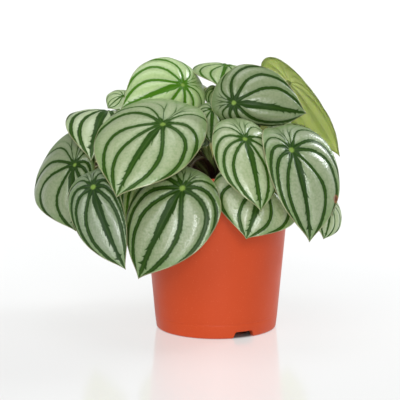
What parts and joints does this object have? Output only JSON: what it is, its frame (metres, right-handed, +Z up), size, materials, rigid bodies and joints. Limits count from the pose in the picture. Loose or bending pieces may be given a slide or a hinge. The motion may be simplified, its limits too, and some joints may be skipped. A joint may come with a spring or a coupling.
{
  "type": "potted watermelon peperomia",
  "caption": "Peperomia with shield-shaped, silver and dark green striped leaves on stalks from one crown, in soil in a plain terracotta-coloured plastic nursery pot.",
  "frame": {"origin": "middle of the pot's underside, on the surface that it stands on", "axes": "+Z up; -Y towards the viewer of the picture, the plant's front; +X to its right"},
  "size_m": [0.242, 0.2172, 0.2108],
  "materials": {
    "pot_plastic": "smooth moulded polypropylene, soft sheen",
    "potting_soil": "loose peat and bark, matt",
    "stalk": "smooth fleshy stalk, olive to red-brown, slight sheen",
    "leaf": "fleshy leaf, silver-green bands between dark green veins, waxy gloss above, paler matt beneath"
  },
  "bodies": {
    "root": {"pot": "pot_plastic", "soil": "potting_soil", "stems": "stalk", "leaf_01": "leaf", "leaf_02": "leaf", "leaf_03": "leaf", "leaf_04": "leaf", "leaf_05": "leaf", "leaf_06": "leaf", "leaf_07": "leaf", "leaf_08": "leaf", "leaf_09": "leaf", "leaf_10": "leaf", "leaf_11": "leaf", "leaf_12": "leaf", "leaf_13": "leaf", "leaf_14": "leaf", "leaf_15": "leaf", "leaf_16": "leaf", "leaf_17": "leaf", "leaf_18": "leaf", "leaf_19": "leaf", "leaf_20": "leaf", "leaf_21": "leaf", "leaf_22": "leaf", "leaf_23": "leaf", "leaf_24": "leaf", "leaf_25": "leaf", "leaf_26": "leaf", "leaf_27": "leaf", "leaf_28": "leaf", "leaf_29": "leaf", "leaf_30": "leaf", "leaf_31": "leaf", "leaf_32": "leaf", "leaf_33": "leaf", "leaf_34": "leaf", "leaf_35": "leaf", "leaf_36": "leaf", "leaf_37": "leaf", "leaf_38": "leaf", "leaf_39": "leaf", "leaf_40": "leaf"}
  },
  "joints": []
}
